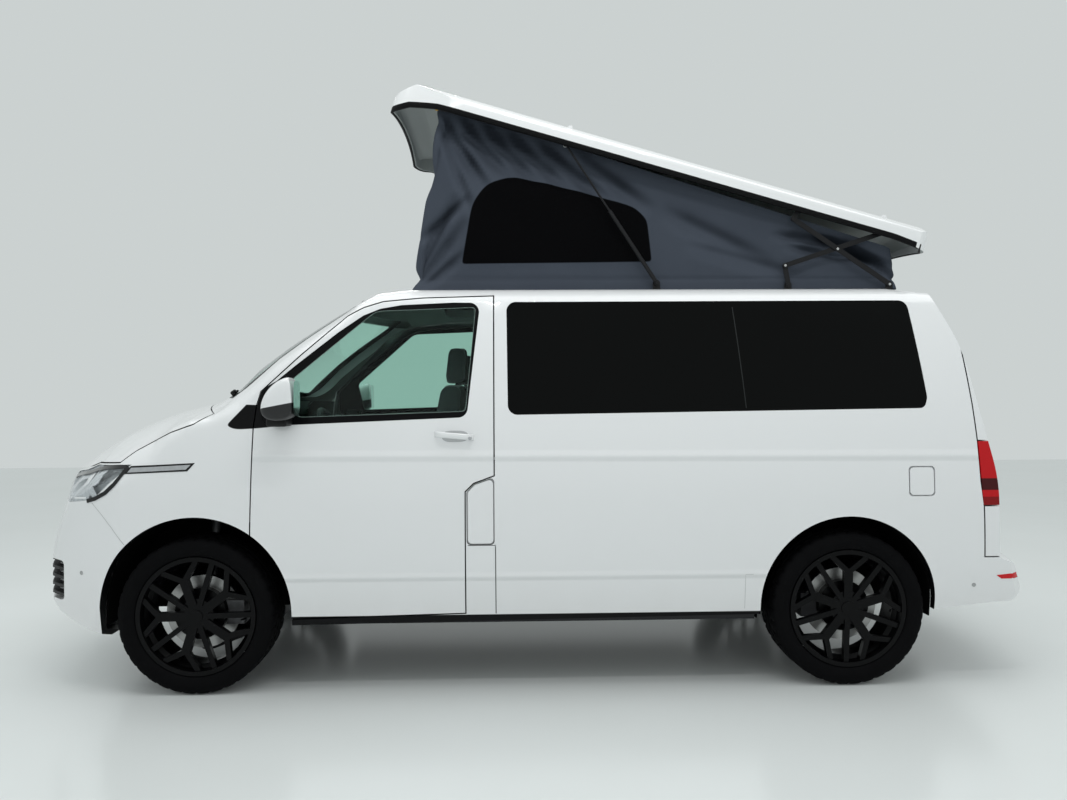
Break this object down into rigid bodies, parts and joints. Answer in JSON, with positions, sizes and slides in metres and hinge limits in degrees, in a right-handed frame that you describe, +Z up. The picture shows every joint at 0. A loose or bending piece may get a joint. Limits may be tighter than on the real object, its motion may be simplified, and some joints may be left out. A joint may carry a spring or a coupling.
{
  "type": "camper van",
  "caption": "Camper van with a front-opening pop-up roof raised on a cloth bellows, hinged doors, bonnet and tailgate, and steered front wheels.",
  "frame": {"origin": "middle of the bounding box at the ground the wheels stand on", "axes": "-X towards the nose, -Y towards the left side, +Z up"},
  "size_m": [4.9003, 2.296, 2.8713],
  "materials": {
    "white_paint": "gloss",
    "roof_white": "gloss",
    "window_tint": "smooth",
    "clear_glass": "smooth",
    "lamp_lens": "smooth",
    "lamp_dark": "gloss",
    "red_lens": "gloss",
    "black_trim": "matte",
    "mirror_body": "gloss",
    "rim_black": "gloss",
    "tyre_rubber": "matte",
    "frame_steel": "satin",
    "cast_metal": "matte",
    "pipe_steel": "satin",
    "canvas_cloth": "matte",
    "seat_cloth": "matte",
    "cabinet": "satin",
    "link_black": "satin"
  },
  "bodies": {
    "van": {"windscreen": "clear_glass", "side_glass": "window_tint", "roof_panel": "white_paint", "front_wings": "white_paint", "body_sides": "white_paint", "sliding_door": "white_paint", "front_bumper": "white_paint", "rear_bumper": "white_paint", "grille": "black_trim", "headlamps": "lamp_lens", "lamp_housings": "lamp_dark", "tail_lamps": "red_lens", "floor_pan": "frame_steel", "chassis_frame": "frame_steel", "arch_liners": "black_trim", "front_subframe": "frame_steel", "rear_axle": "frame_steel", "engine_block": "cast_metal", "exhaust": "pipe_steel", "dashboard": "black_trim", "steering_wheel": "black_trim", "front_seats": "seat_cloth", "rear_bench": "seat_cloth", "kitchen_unit": "cabinet", "roof_brackets": "link_black", "canvas": "canvas_cloth"},
    "door_left": {"front_door_left": "white_paint", "door_glass_left": "clear_glass", "mirror_left": "mirror_body"},
    "door_right": {"front_door_right": "white_paint", "door_glass_right": "clear_glass", "mirror_right": "mirror_body"},
    "bonnet": {"bonnet": "white_paint"},
    "tailgate": {"tailgate": "white_paint", "tailgate_glass": "window_tint"},
    "fuel_flap": {"fuel_flap": "white_paint"},
    "hookup_lid": {"hookup_lid": "white_paint"},
    "pop_roof": {"pop_roof_shell": "roof_white"},
    "main_link": {"main_link": "link_black"},
    "cross_link": {"cross_link": "link_black"},
    "lower_link": {"lower_link": "link_black"},
    "upper_link": {"upper_link": "link_black"},
    "strut_cylinder": {"strut_cylinder": "link_black"},
    "strut_rod": {"strut_rod": "pipe_steel"},
    "knuckle_left": {"knuckle_left": "cast_metal"},
    "knuckle_right": {"knuckle_right": "cast_metal"},
    "wheel_front_left": {"rim_front_left": "rim_black", "tyre_front_left": "tyre_rubber"},
    "wheel_front_right": {"rim_front_right": "rim_black", "tyre_front_right": "tyre_rubber"},
    "wheel_rear_left": {"rim_rear_left": "rim_black", "tyre_rear_left": "tyre_rubber"},
    "wheel_rear_right": {"rim_rear_right": "rim_black", "tyre_rear_right": "tyre_rubber"}
  },
  "joints": [
    {"name": "roof_lift", "type": "hinge", "parent": "van", "child": "pop_roof", "pos_m": [2.593, 0, 1.82], "axis": [0, 1, 0], "range_deg": [-15.8, 0], "deforming": ["canvas"]},
    {"name": "main_link_pivot", "type": "hinge", "parent": "van", "child": "main_link", "pos_m": [1.757, 0, 1.888], "axis": [0, 1, 0], "range_deg": [-34, 0]},
    {"name": "cross_link_pivot", "type": "hinge", "parent": "pop_roof", "child": "cross_link", "pos_m": [1.71318, 0, 2.1367], "axis": [0, 1, 0], "range_deg": [0, 34]},
    {"name": "lower_link_pivot", "type": "hinge", "parent": "van", "child": "lower_link", "pos_m": [1.2605, 0, 1.889], "axis": [0, 1, 0], "range_deg": [-82.9, 0]},
    {"name": "upper_link_pivot", "type": "hinge", "parent": "pop_roof", "child": "upper_link", "pos_m": [1.308, 0, 2.25], "axis": [0, 1, 0], "range_deg": [0, 72.6]},
    {"name": "strut_foot", "type": "hinge", "parent": "van", "child": "strut_cylinder", "pos_m": [0.611, 0, 1.897], "axis": [0, 1, 0], "range_deg": [-58.2, 0]},
    {"name": "strut_slide", "type": "slide", "parent": "strut_cylinder", "child": "strut_rod", "axis": [-0.5469, 0, 0.8372], "range_m": [-0.2521, 0]},
    {"name": "door_left_hinge", "type": "hinge", "parent": "van", "child": "door_left", "pos_m": [-1.298, -0.952, 0.9], "axis": [0, 0, -1], "range_deg": [0, 68]},
    {"name": "door_right_hinge", "type": "hinge", "parent": "van", "child": "door_right", "pos_m": [-1.298, 0.952, 0.9], "axis": [0, 0, 1], "range_deg": [0, 68]},
    {"name": "bonnet_hinge", "type": "hinge", "parent": "van", "child": "bonnet", "pos_m": [-1.433, 0, 1.33], "axis": [0, 1, 0], "range_deg": [0, 55]},
    {"name": "tailgate_hinge", "type": "hinge", "parent": "van", "child": "tailgate", "pos_m": [1.945, 0, 1.885], "axis": [0, -1, 0], "range_deg": [0, 85]},
    {"name": "fuel_flap_hinge", "type": "hinge", "parent": "van", "child": "fuel_flap", "pos_m": [-0.172, -0.953, 0.83], "axis": [0, 0, 1], "range_deg": [0, 90]},
    {"name": "hookup_lid_hinge", "type": "hinge", "parent": "van", "child": "hookup_lid", "pos_m": [1.79, -0.956, 1.021], "axis": [-1, 0, 0], "range_deg": [0, 100]},
    {"name": "steering_left", "type": "hinge", "parent": "van", "child": "knuckle_left", "pos_m": [-1.544, -0.742, 0.19], "axis": [0, 0.229, 0.9734], "range_deg": [-33, 33]},
    {"name": "steering_right", "type": "hinge", "parent": "van", "child": "knuckle_right", "pos_m": [-1.544, 0.742, 0.19], "axis": [0, -0.229, 0.9734], "range_deg": [-33, 33]},
    {"name": "wheel_front_left_spin", "type": "hinge", "parent": "knuckle_left", "child": "wheel_front_left", "pos_m": [-1.544, -0.814, 0.356], "axis": [0, 1, 0], "continuous": true},
    {"name": "wheel_front_right_spin", "type": "hinge", "parent": "knuckle_right", "child": "wheel_front_right", "pos_m": [-1.544, 0.814, 0.356], "axis": [0, 1, 0], "continuous": true},
    {"name": "wheel_rear_left_spin", "type": "hinge", "parent": "van", "child": "wheel_rear_left", "pos_m": [1.456, -0.814, 0.356], "axis": [0, 1, 0], "continuous": true},
    {"name": "wheel_rear_right_spin", "type": "hinge", "parent": "van", "child": "wheel_rear_right", "pos_m": [1.456, 0.814, 0.356], "axis": [0, 1, 0], "continuous": true}
  ],
  "couplings": [
    {"joint": "main_link_pivot", "follows": "roof_lift", "ratio": 2.15},
    {"joint": "cross_link_pivot", "follows": "roof_lift", "ratio": -2.148},
    {"joint": "lower_link_pivot", "follows": "roof_lift", "ratio": 5.241},
    {"joint": "upper_link_pivot", "follows": "roof_lift", "ratio": -4.59},
    {"joint": "strut_foot", "follows": "roof_lift", "ratio": 3.677},
    {"joint": "strut_slide", "follows": "roof_lift", "m_per_rad": 0.9138},
    {"joint": "steering_right", "follows": "steering_left", "ratio": 1}
  ]
}
